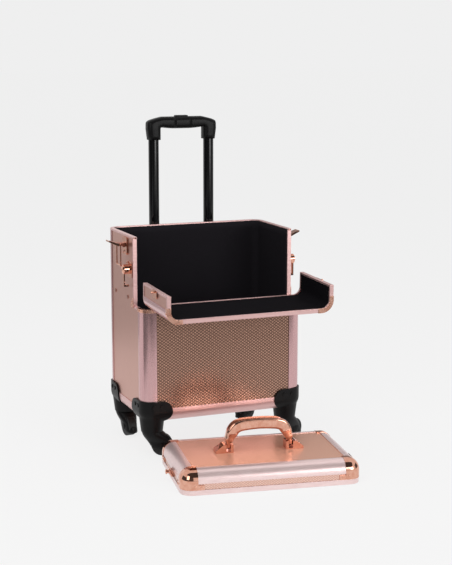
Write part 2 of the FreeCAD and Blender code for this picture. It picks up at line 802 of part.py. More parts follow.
turn_spot = (s.turn_y, s.turn_z)
turn_y = (side_edge + s.rim_leg + s.seat_gap, s.turn_y + s.turn_plate_rear)
turn_z = (s.turn_z - s.turn_plate_height / 2, s.turn_z + s.turn_plate_height / 2)
turn_plate = profile("YZ_Plane", rectangle(turn_y, turn_z), plate_x, [(s.turn_plate_height / 3, [1, 2])])
stud = rod("x", turn_spot, (-half - s.turn_out + s.turn_arm_wall, -half), s.axle_radius)
node("flap_latch_bases", group(*left_and_right(fuse(turn_plate, stud))))
knob_x = (-half - s.turn_out, -half - s.latch_plate - s.slide_gap)
arm_x = (-half - s.turn_out, -half - s.turn_out + s.turn_arm_wall)
arm_y = (s.turn_y - s.turn_arm_width / 2, s.turn_y + s.turn_arm_width / 2)
arm_z = (s.turn_z - s.turn_arm_reach, s.turn_z)
finger_x = (-half - s.turn_out, -half - 2 * s.catch_plate)
finger_z = (arm_z[0], arm_z[0] + s.turn_finger)
knob = fuse(rod("x", turn_spot, knob_x, s.turn_radius), block(arm_x, arm_y, arm_z),
            block(finger_x, arm_y, finger_z))
stud_bore = rod("x", turn_spot, (arm_x[1], -half), s.axle_radius + s.running_gap)
left_knob = node("left_flap_latch_knob", cut(knob, stud_bore))
node("right_flap_latch_knob", mirror(left_knob, SIDEWAYS))
catch_y = (wing_rear - s.catch_length, wing_rear - s.slide_gap)
catch_z = (s.turn_z - s.catch_height / 2, s.turn_z + s.catch_height / 2)
post_y = wing_rear - s.rim_leg
catch_x = (-half - s.catch_plate, -half)
wing_catch = fuse(profile("YZ_Plane", rectangle(catch_y, catch_z), catch_x, [(s.rim_leg, [0, 3])]),
                  rod("x", (post_y, s.turn_z), (-half - s.catch_post_out, -half), s.catch_post_radius))
node("flap_catches", group(*left_and_right(wing_catch)), swing)

# lid, drawn about its own middle with the open side down, then laid on the floor

laid = Placement(Vector(s.lid_x.value, s.lid_y.value, 0), Rotation(Vector(0, 0, 1), s.lid_yaw.value))
lid_outer = lid_block(0)
lid_skin = lid_block(s.skin)
lid_wall = lid_block(wall)
lid_lined = lid_block(lined)
lid_rim_block = lid_block(rim)
lid_frame_shell = cut(lid_outer, lid_wall)
lid_skin_shell = cut(lid_outer, lid_skin)
long_x = half - s.corner_length
long_y = deep - s.corner_length
lid_high = s.lid_height + beyond
band_z = (s.skin, lid_flat_z)
node("lid_panel", block((-lid_flat_x, lid_flat_x), (-lid_flat_y, lid_flat_y),
                        (s.lid_height - wall, s.lid_height - s.skin)), laid)
front_band = block((-long_x, long_x), (s.skin - deep, wall - deep), band_z)
side_band = block((s.skin - half, wall - half), (-long_y, long_y), band_z)
bands = [front_band, mirror(front_band, LENGTHWAYS), *left_and_right(side_band)]
node("lid_side_bands", group(*bands), laid)
edge_top = (lid_flat_z, lid_high)
lip_top = (lid_flat_z - s.lid_lip, lid_high)
along_x = (-long_x, long_x)
along_y = (-long_y, long_y)
front_edge = fuse(common(lid_frame_shell, block(along_x, (-deep, -lid_flat_y), edge_top)),
                  common(lid_skin_shell, block(along_x, (-deep, s.lid_lip - lid_flat_y), lip_top)))
end_edge = fuse(common(lid_frame_shell, block((-half, -lid_flat_x), along_y, edge_top)),
                common(lid_skin_shell, block((-half, s.lid_lip - lid_flat_x), along_y, lip_top)))
lid_edges = [front_edge, mirror(front_edge, LENGTHWAYS), *left_and_right(end_edge)]
node("lid_edge_profiles", group(*lid_edges), laid)
cap_shell = cut(lid_block(-s.corner_proud), lid_wall)
cap_box = block((-half - beyond, -long_x), (-deep - beyond, -long_y), (s.lid_rim, lid_high))
panel_way = block((-lid_flat_x, lid_flat_x), (-lid_flat_y, lid_flat_y), (0, s.lid_height - s.skin))
cap = cut(common(cap_shell, cap_box), panel_way)
node("lid_corners", group(*at_four_corners(cap)), laid)
rim_zone = block(wide_x, all_y, (0, s.skin))
tall_leg = block(wide_x, all_y, (s.skin, s.lid_rim))
short_leg = block(wide_x, all_y, (s.skin, s.rim_leg))
node("lid_rim", fuse(common(cut(lid_outer, lid_rim_block), rim_zone), common(lid_skin_shell, tall_leg),
                     common(cut(lid_lined, lid_rim_block), short_leg)), laid)
node("lid_lining", common(cut(lid_wall, lid_lined), block(wide_x, all_y, (s.skin, lid_high))), laid)

# small clips with a screw beside each lid corner
clip_z = (s.lid_rim, s.lid_rim + s.clip_height)
clip_mid = s.lid_rim + s.clip_height / 2
clip_out_y = -deep - s.corner_proud
clip_out_x = -half - s.corner_proud
front_clip = block((-long_x, s.clip_length - long_x), (clip_out_y, s.skin - deep), clip_z)
side_clip = block((clip_out_x, s.skin - half), (-long_y, s.clip_length - long_y), clip_z)
head_radius = s.screw_head_radius / 2
head_y = (clip_out_y - s.corner_proud, clip_out_y)
head_x = (clip_out_x - s.corner_proud, clip_out_x)
front_head = rod("y", (s.clip_length / 2 - long_x, clip_mid), head_y, head_radius)
side_head = rod("x", (s.clip_length / 2 - long_y, clip_mid), head_x, head_radius)
clips = group(fuse(front_clip, front_head), fuse(side_clip, side_head))
node("lid_corner_clips", group(*at_four_corners(clips)), laid)

# hooks on the lid's short sides that the bails pull on
hook_y = (s.catch_y - s.catch_width / 2, s.catch_y + s.catch_width / 2)
hook_mid = (s.lid_rim + lid_flat_z) / 2
hook_outline = [(s.skin - half, s.lid_rim), (s.skin - half, lid_flat_z - s.lid_lip),
                (-half - s.skin, lid_flat_z - s.lid_lip), (-half - s.catch_out, lid_flat_z + s.lid_lip),
                (-half - s.catch_out, hook_mid), (-half - 2 * s.skin, s.lid_rim)]
lid_hook = profile("XZ_Plane", hook_outline, hook_y)
node("lid_catches", group(*left_and_right(lid_hook)), laid)

# carrying handle on the lid: brackets with cross pins, and the bow between them

handle_x = s.handle_span / 2
leg_in = handle_x - s.handle_leg
pivot_z = s.lid_height + s.handle_pivot
slot_x = (leg_in - s.handle_side_gap, handle_x + s.handle_side_gap)
bracket_x = (slot_x[0] - s.bracket_cheek, slot_x[1] + s.bracket_tail)
bracket_top = s.lid_height + s.cheek_height
foot_top = s.lid_height + s.skin
bracket_outline = [(bracket_x[0], s.lid_height - s.skin), (bracket_x[1], s.lid_height - s.skin),
                   (bracket_x[1], s.lid_height + s.rim_leg), (slot_x[1] + s.bracket_cheek, bracket_top),
                   (bracket_x[0], bracket_top)]
bracket_y = (-s.bracket_depth / 2, s.bracket_depth / 2)
handle_slot = block(slot_x, all_y, (foot_top, bracket_top + beyond))
pin_span = (bracket_x[0], slot_x[1] + s.bracket_cheek)
cross_pin = rod("x", (0, pivot_z), pin_span, s.handle_pin_radius)
bracket = fuse(cut(profile("XZ_Plane", bracket_outline, bracket_y), handle_slot), cross_pin)
node("lid_handle_brackets", group(*left_and_right(bracket)), laid)
bow_top = pivot_z + s.handle_rise
bow_shoulder = bow_top - s.handle_crown
bow_under = bow_top - s.handle_thickness
knee = 2 * s.handle_leg
right_half = [(handle_x - knee, bow_shoulder), (handle_x, bow_shoulder - knee), (handle_x, pivot_z),
              (leg_in, pivot_z), (leg_in, bow_under - knee / 2), (leg_in - knee / 2, bow_under)]
left_half = [(-x, z) for x, z in reversed(right_half)]
bow_outline = [(0, bow_top), *right_half, *left_half]
bow_y = (-s.handle_depth / 2, s.handle_depth / 2)
bow = profile("XZ_Plane", bow_outline, bow_y, [(knee, [1, 2, 11, 12])])
eye_radius = s.handle_depth / 2 - s.handle_side_gap
leg_x = (-handle_x, -leg_in)
handle_bore = s.handle_pin_radius + s.running_gap
eyes = left_and_right(rod("x", (0, pivot_z), leg_x, eye_radius))
handle_bores = left_and_right(rod("x", (0, pivot_z), leg_x, handle_bore))
node("lid_handle", cut(fuse(bow, *eyes), *handle_bores), laid)

doc.recompute()
faults = [thing.Label for thing in doc.Objects if {"Invalid", "Error"} & set(thing.State)]
faults += [piece.Label for piece in nodes if piece.Shape.isNull() or not piece.Shape.isValid()]
if faults:
    raise RuntimeError("these did not build: " + ", ".join(faults))

os.makedirs("parts", exist_ok=True)
for piece in nodes:
    piece.Shape.exportStep(f"parts/{piece.Label}.step")
    print(piece.Label, len(piece.Shape.Solids), round(piece.Shape.Volume))
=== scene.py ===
import json
import math

import bmesh
import bpy
from mathutils import Matrix, Vector
from mathutils.bvhtree import BVHTree


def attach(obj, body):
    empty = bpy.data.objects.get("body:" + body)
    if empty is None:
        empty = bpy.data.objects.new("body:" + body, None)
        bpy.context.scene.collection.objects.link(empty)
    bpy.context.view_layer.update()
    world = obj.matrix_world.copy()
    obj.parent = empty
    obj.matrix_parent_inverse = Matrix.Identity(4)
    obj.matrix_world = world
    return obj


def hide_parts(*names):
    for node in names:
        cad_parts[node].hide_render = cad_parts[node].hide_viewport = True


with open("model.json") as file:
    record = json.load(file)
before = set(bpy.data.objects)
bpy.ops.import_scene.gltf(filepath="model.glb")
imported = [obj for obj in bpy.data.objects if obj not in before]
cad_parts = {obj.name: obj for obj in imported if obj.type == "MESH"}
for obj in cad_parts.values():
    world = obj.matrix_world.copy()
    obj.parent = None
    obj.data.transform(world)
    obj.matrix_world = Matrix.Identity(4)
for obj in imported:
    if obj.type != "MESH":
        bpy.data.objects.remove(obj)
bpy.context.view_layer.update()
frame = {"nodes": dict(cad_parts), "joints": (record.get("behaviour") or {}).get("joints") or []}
cadNodes = frame["nodes"]
joints = {joint["name"]: joint for joint in frame["joints"]}
castorCorners = ["front_left", "front_right", "rear_left", "rear_right"]
still = Matrix.Identity(4)
mm = 0.001
print("frame loaded:", len(cadNodes), "nodes")


# colours and shader nodes


def hexColour(code):
    # sRGB hex to linear
    parts = [int(code[i:i + 2], 16) / 255 for i in (1, 3, 5)]
    return [c / 12.92 if c <= 0.04045 else ((c + 0.055) / 1.055) ** 2.4 for c in parts] + [1.0]


def clearTree(owner):
    # the node tree of a material or world, emptied
    owner.use_nodes = True
    owner.node_tree.nodes.clear()
    return owner.node_tree


def addNode(tree, kind, settings=None, **inputs):
    # settings are the node's own, with "stops" for the places and colours of a ramp;
    # an input is a value, or the node or socket that feeds it, and i0 is the first input
    node = tree.nodes.new(kind)
    for name, value in (settings or {}).items():
        if name == "stops":
            for stop, (place, colour) in zip(node.color_ramp.elements, value):
                stop.position = place
                stop.color = colour
        else:
            setattr(node, name, value)
    for name, value in inputs.items():
        socket = node.inputs[int(name[1:]) if name[1:].isdigit() else name.replace("_", " ")]
        if isinstance(value, bpy.types.Node):
            value = value.outputs[0]
        if isinstance(value, bpy.types.NodeSocket):
            tree.links.new(value, socket)
        else:
            socket.default_value = value
    return node


def perMetre(sizeMm):
    return 1000.0 / sizeMm


def along(axis, look):
    # a look whose lines run along one axis
    return dict(look, grainMm=[look["lineLengthMm"] if a == axis else look["lineMm"] for a in "xyz"])


def makeMaterial(name, look):
    # noise at the grain's real size, or the pressed height, shades the colour; the pressed height gives
    # painted shade, darker in the pits; the noise also shades the gloss or the relief where the look has one
    material = bpy.data.materials.new(name)
    tree = clearTree(material)
    place = addNode(tree, "ShaderNodeTexCoord").outputs["Object"]
    scale = [perMetre(size) for size in look["grainMm"]]
    grain = addNode(tree, "ShaderNodeMapping", Vector=place, Scale=scale)
    noise = addNode(tree, "ShaderNodeTexNoise", Vector=grain, Scale=1.0, Detail=look["detail"])
    shade = noise
    # the pressed height layer paints shade into the pits, in place of the noise
    if "pitShadeLayer" in look:
        shade = addNode(tree, "ShaderNodeAttribute", {"attribute_name": look["pitShadeLayer"]}).outputs["Fac"]
    stops = [(at, hexColour(look[tone])) for at, tone in zip(look["blend"], ("deep", "light"))]
    inputs = dict(look["sockets"])
    inputs["Base_Color"] = addNode(tree, "ShaderNodeValToRGB", {"stops": stops}, Fac=shade)
    if "roughSpan" in look:
        low, high = look["roughSpan"]
        inputs["Roughness"] = addNode(tree, "ShaderNodeMapRange", Value=noise, To_Min=low, To_Max=high)
    if "reliefMm" in look:
        inputs["Normal"] = addNode(tree, "ShaderNodeBump", Height=noise, Strength=look["relief"],
                                   Distance=look["reliefMm"] * mm)
    shader = addNode(tree, "ShaderNodeBsdfPrincipled", **inputs)
    addNode(tree, "ShaderNodeOutputMaterial", Surface=shader)
    return material


# extruded aluminium, satin anodised in rose: soft lengthwise die lines, a broad pink sheen
roseProfile = {"light": "#D2AAAB", "deep": "#CCA3A4", "blend": (0.3, 0.7), "detail": 2.0,
               "lineMm": 3.5, "lineLengthMm": 900.0, "roughSpan": (0.195, 0.21),
               "sockets": {"Metallic": 0.85}}

# the lid's profile is the same extrusion, softer, and paler in colour: painted light
lidProfile = dict(roseProfile, light="#F3DBD9", deep="#EBCFCD", roughSpan=(0.295, 0.31),
                  sockets={"Metallic": 0.55})

# the thin rims are bead blasted before anodising: softer; their lighter colour is painted light, which keeps
# them bright all round
rimProfile = dict(roseProfile, light="#E4BDBA", deep="#DBB1AE", roughSpan=(0.335, 0.35),
                  sockets={"Metallic": 0.7})

# rose-gold foil laminated on board: satin, with a very fine brushed grain
roseFoil = {"light": "#D0A396", "deep": "#C59588", "blend": (0.25, 0.75), "detail": 3.0,
            "lineMm": 0.35, "lineLengthMm": 14.0, "roughSpan": (0.32, 0.345), "sockets": {"Metallic": 0.9}}

# the lid's sheet has more of the lacquer's own colour, and its brighter colour is painted light
lidFoil = dict(roseFoil, light="#F4BBA1", deep="#F0B499", roughSpan=(0.25, 0.275), sockets={"Metallic": 0.4})

# the same laminate pressed into small staggered diamonds: the mesh holds the pressed height,
# which paints shade into the colour, the pits darker than the tops
embossedFoil = {"light": "#C79C88", "deep": "#583F35", "blend": (0.05, 0.75), "detail": 2.0,
                "pitShadeLayer": "pressShade", "grainMm": (3.0, 3.0, 3.0), "roughSpan": (0.22, 0.32),
                "sockets": {"Metallic": 0.8}}

# the lid's narrow bands are pressed finer, and their lighter colours are painted light
bandFoil = dict(embossedFoil, light="#F8D6C9", deep="#D3A392")

# die-cast zinc, polished and plated in rose gold: a mirror with a warm copper tint
rosePlate = {"light": "#E6B09A", "deep": "#DA9C84", "blend": (0.35, 0.65), "detail": 2.0,
             "grainMm": (9.0, 9.0, 9.0), "roughSpan": (0.03, 0.1), "sockets": {"Metallic": 1.0}}

# the thin corner castings are tumbled, not polished: the same plating, satin, with a slightly lighter colour
# that is painted light
tumbledPlate = dict(rosePlate, light="#EDB9A4", deep="#E2A68F", roughSpan=(0.24, 0.31))

# plated steel of hinges, rivets and screws: small, a little duller than the castings
platedSteel = {"light": "#C79E90", "deep": "#A97F72", "blend": (0.3, 0.7), "detail": 2.0,
               "grainMm": (1.5, 1.5, 1.5), "sockets": {"Metallic": 1.0, "Roughness": 0.28}}

# black woven nylon over thin foam: almost no gloss, a faint warm sheen and a fine weave
liningCloth = {"light": "#262428", "deep": "#1B191C", "blend": (0.35, 0.75), "detail": 1.0,
               "grainMm": (0.9, 0.9, 0.9), "relief": 0.5, "reliefMm": 0.08,
               "sockets": {"Roughness": 0.85, "Specular_IOR_Level": 0.02, "Sheen_Weight": 0.01,
                           "Sheen_Roughness": 0.4, "Sheen_Tint": hexColour("#8A7F7A")}}

# on the drop front the same cloth is a shade deeper: painted shade
flapCloth = dict(liningCloth, light="#18161A", deep="#100F11")

# injection-moulded black ABS: fine spark-eroded grain, satin highlights
blackAbs = {"light": "#0F0E0F", "deep": "#090809", "blend": (0.3, 0.7), "detail": 2.0,
            "grainMm": (0.7, 0.7, 0.7), "relief": 0.4, "reliefMm": 0.05,
            "sockets": {"Roughness": 0.4, "Specular_IOR_Level": 0.15, "IOR": 1.53}}

# aluminium tube, black anodised and sealed: smooth and glossy, with faint drawing lines;
# the sealed dye layer hides the metal, so it shines as a lacquer does
blackTube = {"light": "#0B0B0D", "deep": "#060607", "blend": (0.3, 0.7), "detail": 2.0,
             "lineMm": 0.6, "lineLengthMm": 120.0, "roughSpan": (0.06, 0.15),
             "sockets": {"Specular_IOR_Level": 0.38, "IOR": 1.5}}

# moulded polyurethane tyre: dead black and matt, with faint worn patches
castorTyre = {"light": "#121112", "deep": "#0A0A0A", "blend": (0.35, 0.7), "detail": 3.0,
              "grainMm": (3.0, 3.0, 3.0), "sockets": {"Roughness": 0.6}}

profileX = makeMaterial("anodisedRoseProfileX", along("x", roseProfile))
profileZ = makeMaterial("anodisedRoseProfileZ", along("z", roseProfile))
lidTrim = makeMaterial("paleRoseProfileX", along("x", lidProfile))
rimTrim = makeMaterial("blastedRoseProfilePaintedLightX", along("x", rimProfile))
foilX = makeMaterial("satinRoseFoilX", along("x", roseFoil))
foilY = makeMaterial("satinRoseFoilY", along("y", roseFoil))
foilZ = makeMaterial("satinRoseFoilZ", along("z", roseFoil))
lidSheet = makeMaterial("brightRoseFoilY", along("y", lidFoil))
embossed = makeMaterial("embossedRoseFoil", embossedFoil)
embossedBand = makeMaterial("finePressedRoseFoil", bandFoil)
plate = makeMaterial("rosePlatedZinc", rosePlate)
satinPlate = makeMaterial("tumbledRoseZinc", tumbledPlate)
steel = makeMaterial("rosePlatedSteel", platedSteel)
cloth = makeMaterial("blackWovenLining", liningCloth)
shadedFlapCloth = makeMaterial("blackLiningPaintedShade", flapCloth)
plastic = makeMaterial("mouldedBlackAbs", blackAbs)
tube = makeMaterial("blackAnodisedTube", along("z", blackTube))
tyre = makeMaterial("blackPolyurethaneTyre", castorTyre)
print("materials made:", len(bpy.data.materials))


# finishes of the CAD nodes

nodeFinish = {
    profileZ: ["front_corner_profiles", "rear_corner_profiles"],
    profileX: ["flap_corner_profiles"],
    rimTrim: ["base_edge_profiles", "top_rim", "opening_rim", "flap_rim", "side_edge_trims"],
    lidTrim: ["lid_edge_profiles", "lid_rim"],
    foilZ: ["left_side_panel", "right_side_panel", "back_panel"],
    foilX: ["base_panel"],
    foilY: ["flap_wings"],
    lidSheet: ["lid_panel"],
    embossed: ["front_panel", "flap_panel"],
    embossedBand: ["lid_side_bands"],
    satinPlate: ["opening_brackets", "flap_corner_caps", "lid_corner_clips"],
    plate: ["lid_latch_bases", "flap_latch_bases", "flap_catches", "lid_corners", "lid_catches",
            "lid_handle_brackets", "lid_handle",
            "left_lid_latch_lever", "right_lid_latch_lever", "left_lid_latch_bail", "right_lid_latch_bail",
            "left_flap_latch_knob", "right_flap_latch_knob"],
    cloth: ["case_lining", "lid_lining"],
    shadedFlapCloth: ["flap_lining"],
    plastic: ["corner_housings", "trolley_top_bracket", "trolley_foot", "trolley_grip", "release_button",
              "lock_linkage"] + ["castor_fork_" + corner for corner in castorCorners],
    tube: ["outer_tubes", "middle_tubes", "inner_tubes"],
    tyre: ["castor_wheel_" + corner for corner in castorCorners],
    steel: ["case_fasteners", "case_hinge_leaf", "flap_hinge_leaf", "hinge_pin"],
}
blackScrewsBelow = 150.0  # the screws in the corner housings are black

for material, names in nodeFinish.items():
    for name in names:
        cadNodes[name].data.materials.clear()
        cadNodes[name].data.materials.append(material)
fasteners = cadNodes["case_fasteners"].data
fasteners.materials.append(plastic)
for face in fasteners.polygons:
    face.material_index = 1 if face.center.z < blackScrewsBelow * mm else 0
print("finishes set")


# meshes: rings, lofts and a finished piece


def finishPiece(name, verts, faces, material, body, replaced=(), sharpAngle=38):
    # a smooth mesh with creases, riding on one body
    mesh = bpy.data.meshes.new(name)
    mesh.from_pydata([tuple(v) for v in verts], [], faces)
    work = bmesh.new()
    work.from_mesh(mesh)
    bmesh.ops.recalc_face_normals(work, faces=work.faces)
    work.to_mesh(mesh)
    work.free()
    mesh.polygons.foreach_set("use_smooth", [True] * len(mesh.polygons))
    mesh.set_sharp_from_angle(angle=math.radians(sharpAngle))
    mesh.materials.append(material)
    piece = bpy.data.objects.new(name, mesh)
    bpy.context.scene.collection.objects.link(piece)
    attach(piece, body)
    if replaced:
        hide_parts(*replaced)
    return piece


def thicken(piece, wallMm, offset=-1):
    # gives a skin its wall: behind its faces at -1, in front of them at 1
    wall = piece.modifiers.new("wall", "SOLIDIFY")
    wall.thickness = wallMm * mm
    wall.offset = offset


def loft(rings, closed=True, caps=(False, False)):
    # skins rings of equal count; a cap closes the first or last ring
    count = len(rings[0])
    verts = [v for ring in rings for v in ring]
    faces = []
    span = count if closed else count - 1
    for row in range(len(rings) - 1):
        for i in range(span):
            a, b = row * count + i, row * count + (i + 1) % count
            faces.append((a, b, b + count, a + count))
    if caps[0]:
        faces.append(tuple(range(count))[::-1])
    if caps[1]:
        faces.append(tuple(range((len(rings) - 1) * count, len(rings) * count)))
    return verts, faces


def joinParts(parts):
    verts, faces = [], []
    for someVerts, someFaces in parts:
        start = len(verts)
        verts += someVerts
        faces += [tuple(i + start for i in face) for face in someFaces]
    return verts, faces


def roundRect(width, height, radius, steps=6):
    # outline of a rounded rectangle about the origin, in order
    points = []
    for cx, cy, start in ((1, 1, 0), (-1, 1, 90), (-1, -1, 180), (1, -1, 270)):
        for k in range(steps + 1):
            angle = math.radians(start + 90 * k / steps)
            points.append((cx * (width / 2 - radius) + radius * math.cos(angle),
                           cy * (height / 2 - radius) + radius * math.sin(angle)))
    return points


def facing(point, direction):
    # placement with local Z along a direction
    return Matrix.Translation(point) @ Vector(direction).to_track_quat("Z", "Y").to_matrix().to_4x4()


def turned(radiusMm, profile, place, steps=32):
    # pairs of a share of the radius and a height in mm, spun about the local Z of a placement
    rings = []
    for share, height in profile:
        ring = []
        for k in range(steps):
            angle = 2 * math.pi * k / steps
            reach = Vector((math.cos(angle), math.sin(angle), 0)) * radiusMm * share
            ring.append(place @ ((reach + Vector((0, 0, height))) * mm))
        rings.append(ring)
    return loft(rings, True, (True, True))


def spotMm(x, y, z, local=still):
    # a place in mm, in a local frame
    return local @ (Vector((x, y, z)) * mm)


def cosSin(degrees):
    return math.cos(math.radians(degrees)), math.sin(math.radians(degrees))


# the closed place of the drop front, and the lid's own place, turned as it lies on the floor
flapOpening = 92.0
lidTurn = -9.5
hingeLine = Vector((0, *joints["drop_front_hinge"]["pos_m"][1:]))
flapFrame = (Matrix.Translation(hingeLine) @ Matrix.Rotation(math.radians(flapOpening), 4, "X")
             @ Matrix.Translation(-hingeLine))
lidSpot = joints["lid_handle_swing"]["pos_m"]
lidFrame = (Matrix.Translation((lidSpot[0], lidSpot[1], 0))
            @ Matrix.Rotation(math.radians(lidTurn), 4, "Z"))


# linings: black cloth glued over thin foam, rounded into the corners

caseLining = {"halfX": 165.2, "halfY": 105.2, "floor": 78.4, "corner": 16.0, "opening": 300.0, "top": 439.0,
              "sideEdge": -54.5, "thickness": 1.7,
              "ease": 0.35, "easeWaves": ((0.9, 0.021), (0.37, -0.033)), "easeLeast": -0.2, "core": 40.0,
              "sideSteps": 14, "longSteps": 24, "returnSteps": 4, "bendSteps": 7,
              "floorBend": range(0, 90, 18), "wallLevels": 14, "upperLevels": 10}


def straightRun(start, end, count):
    # points from start towards end, without the last
    return [[a + (b - a) * k / count for a, b in zip(start, end)] for k in range(count)]


def cornerRun(x, y, radius, start, count):
    # a quarter turn clockwise about a centre, without the last point
    angles = [math.radians(start - 90 * k / count) for k in range(count)]
    return [[x + radius * math.cos(angle), y + radius * math.sin(angle)] for angle in angles]


def makeCaseLining():
    size = caseLining
    halfX, halfY, radius, edge = size["halfX"], size["halfY"], size["corner"], size["sideEdge"]
    side, long, short, bend = size["sideSteps"], size["longSteps"], size["returnSteps"], size["bendSteps"]
    flatX, flatY = halfX - radius, halfY - radius
    # back along the left side, along the rear and forward along the right side
    tall = straightRun((-halfX, edge), (-halfX, flatY), side) + cornerRun(-flatX, flatY, radius, 180, bend)
    tall += straightRun((-flatX, halfY), (flatX, halfY), long) + cornerRun(flatX, flatY, radius, 90, bend)
    tall += straightRun((halfX, flatY), (halfX, edge), side)
    # around the front, which is lower
    low = straightRun((halfX, edge), (halfX, -flatY), short) + cornerRun(flatX, -flatY, radius, 0, bend)
    low += straightRun((flatX, -halfY), (-flatX, -halfY), long) + cornerRun(-flatX, -flatY, radius, 270, bend)
    low += straightRun((-halfX, -flatY), (-halfX, edge), short)
    loop = tall + low

    def row(z, inset, wave):
        ring = []
        for k, (x, y) in enumerate(loop):
            swell = wave * size["ease"] * sum(math.sin(k * a + z * b) for a, b in size["easeWaves"])
            keep = 1 - (inset + max(swell, size["easeLeast"])) / max(abs(x), abs(y), size["core"])
            ring.append(spotMm(x * keep, y * keep, z))
        return ring

    def wallRows(start, end, count):
        return [row(start + (end - start) * k / count, 0, math.sin(math.pi * k / count))
                for k in range(count + 1)]

    rows = []
    for angle in size["floorBend"]:
        cosine, sine = cosSin(angle)
        rows.append(row(size["floor"] + radius * (1 - cosine), radius * (1 - sine), 0))
    rows += wallRows(size["floor"] + radius, size["opening"], size["wallLevels"])
    verts, faces = loft(rows)
    faces.append(tuple(range(len(loop))))
    # above the opening only the back and the sides go on
    width = len(tall) + 1
    start = (len(rows) - 1) * len(loop)
    below = list(range(start, start + width))
    for ring in wallRows(size["opening"], size["top"], size["upperLevels"])[1:]:
        here = list(range(len(verts), len(verts) + width))
        verts += ring[:width]
        faces += [(below[i], below[i + 1], here[i + 1], here[i]) for i in range(width - 1)]
        below = here
    piece = finishPiece("caseLiningCloth", verts, faces, cloth, "case", ["case_lining"],
                        sharpAngle=70)
    # the wall grows outward, whichever way the faces look
    first = piece.data.polygons[0]
    thicken(piece, size["thickness"], -1 if first.normal.dot(first.center) < 0 else 1)


flapLining = {"halfX": 165.0, "face": -105.3, "wingEnd": -60.5, "low": 309.0, "high": 434.5, "corner": 13.0,
              "thickness": 1.6, "ease": 0.3, "easeWave": (0.8, 0.5), "wingSteps": 5, "bend": range(0, 90, 10),
              "frontSteps": 26, "levels": 18}


def makeFlapLining():
    size = flapLining
    halfX, face, radius = size["halfX"], size["face"], size["corner"]
    flatX, bendY = halfX - radius, face + radius
    wing = straightRun((-halfX, size["wingEnd"]), (-halfX, bendY), size["wingSteps"])
    for angle in size["bend"]:
        cosine, sine = cosSin(angle)
        wing.append([-flatX - radius * cosine, bendY - radius * sine])
    front = straightRun((-flatX, face), (flatX, face), size["frontSteps"]) + [[flatX, face]]
    path = wing + front + [[-x, y] for x, y in wing[::-1]]
    rings = []
    for level in range(size["levels"] + 1):
        share = level / size["levels"]
        z = size["low"] + (size["high"] - size["low"]) * share
        ring = []
        for k, (x, y) in enumerate(path):
            wave = (1 + math.sin(k * size["easeWave"][0] + level * size["easeWave"][1])) / 2
            swell = size["ease"] * math.sin(math.pi * share) * wave
            ring.append(spotMm(x * (1 - swell / halfX), y + swell, z, flapFrame))
        rings.append(ring)
    verts, faces = loft(rings, False)
    piece = finishPiece("flapLiningCloth", verts, faces, shadedFlapCloth, "drop_front",
                        ["flap_lining"], sharpAngle=70)
    # the wall grows outward here too
    first = piece.data.polygons[0]
    inside = spotMm(0, 0, (size["low"] + size["high"]) / 2, flapFrame) - first.center
    thicken(piece, size["thickness"], -1 if first.normal.dot(inside) > 0 else 1)


lidLining = {"halfX": 165.0, "halfY": 105.0, "low": 1.6, "skirt": 12.0, "top": 39.4, "corner": 18.0,
             "leastCorner": 0.5, "bend": range(15, 91, 15), "thickness": 1.6}


def makeLidLining():
    size = lidLining
    radius, bendZ = size["corner"], size["top"] - size["corner"]
    rows = [(size["low"], 0), (size["skirt"], 0), (bendZ, 0)]
    for angle in size["bend"]:
        cosine, sine = cosSin(angle)
        rows.append((bendZ + radius * sine, radius - radius * cosine))
    rings = []
    for z, inset in rows:
        width, depth = 2 * (size["halfX"] - inset), 2 * (size["halfY"] - inset)
        outline = roundRect(width, depth, max(radius - inset, size["leastCorner"]))
        rings.append([spotMm(x, y, z, lidFrame) for x, y in outline])
    verts, faces = loft(rings, True, (False, True))
    piece = finishPiece("lidLiningCloth", verts, faces, cloth, "lid", ["lid_lining"],
                        sharpAngle=70)
    thicken(piece, size["thickness"], 1)


makeCaseLining()
makeFlapLining()
makeLidLining()
print("linings laid")


# embossed panels: real pressed diamonds, drawn coarser than the foil's own, which are too fine to show

emboss = {"pitchX": 8.2, "pitchY": 6.0, "height": 0.6}
bandEmboss = {"pitchX": 6.0, "pitchY": 4.4, "height": 0.4}


def solidBoxes(name, local):
    # the box of each separate solid of a node, in a local frame
    data = cadNodes[name].data
    inverse = local.inverted()
    links = list(range(len(data.vertices)))

    def root(i):
        while links[i] != i:
            links[i] = links[links[i]]
            i = links[i]
        return i

    spots = {}  # vertices at one place belong together
    for v in data.vertices:
        key = tuple(round(c, 6) for c in v.co)
        links[root(v.index)] = root(spots.setdefault(key, v.index))
    for p in data.polygons:
        for v in p.vertices[1:]:
            links[root(v)] = root(p.vertices[0])
    groups = {}
    for v in data.vertices:
        groups.setdefault(root(v.index), []).append(inverse @ v.co)
    return [tuple(Vector([end(p[a] for p in points) for a in range(3)]) for end in (min, max))
            for points in groups.values()]


